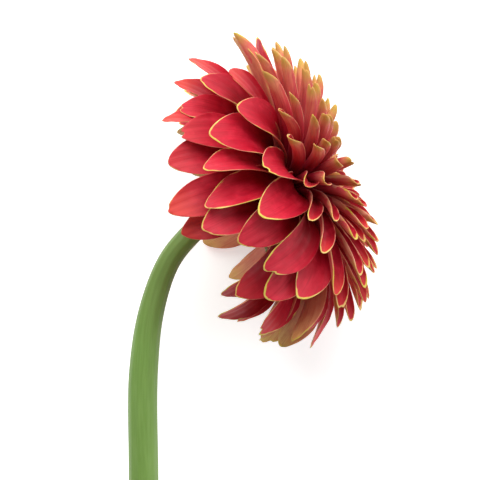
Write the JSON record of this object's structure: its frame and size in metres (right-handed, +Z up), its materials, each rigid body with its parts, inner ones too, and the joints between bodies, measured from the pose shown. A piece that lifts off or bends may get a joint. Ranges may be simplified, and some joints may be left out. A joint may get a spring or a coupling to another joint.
{
  "type": "cut gerbera",
  "caption": "Full-headed cut gerbera with red, yellow-edged petals curling back round a crowded centre, on a long bare stem, lying on its side.",
  "frame": {"origin": "on the surface that the flower lies on, under the middle of the box round the whole flower", "axes": "+Z up from the surface, +Y along the stem from its cut end towards the head, +X to the side that the flower faces"},
  "size_m": [0.0796, 0.3401, 0.0848],
  "materials": {
    "petals": "satin",
    "involucre": "matte",
    "stem": "satin"
  },
  "bodies": {
    "root": {"petals": "petals", "involucre": "involucre", "stem": "stem"}
  },
  "joints": []
}
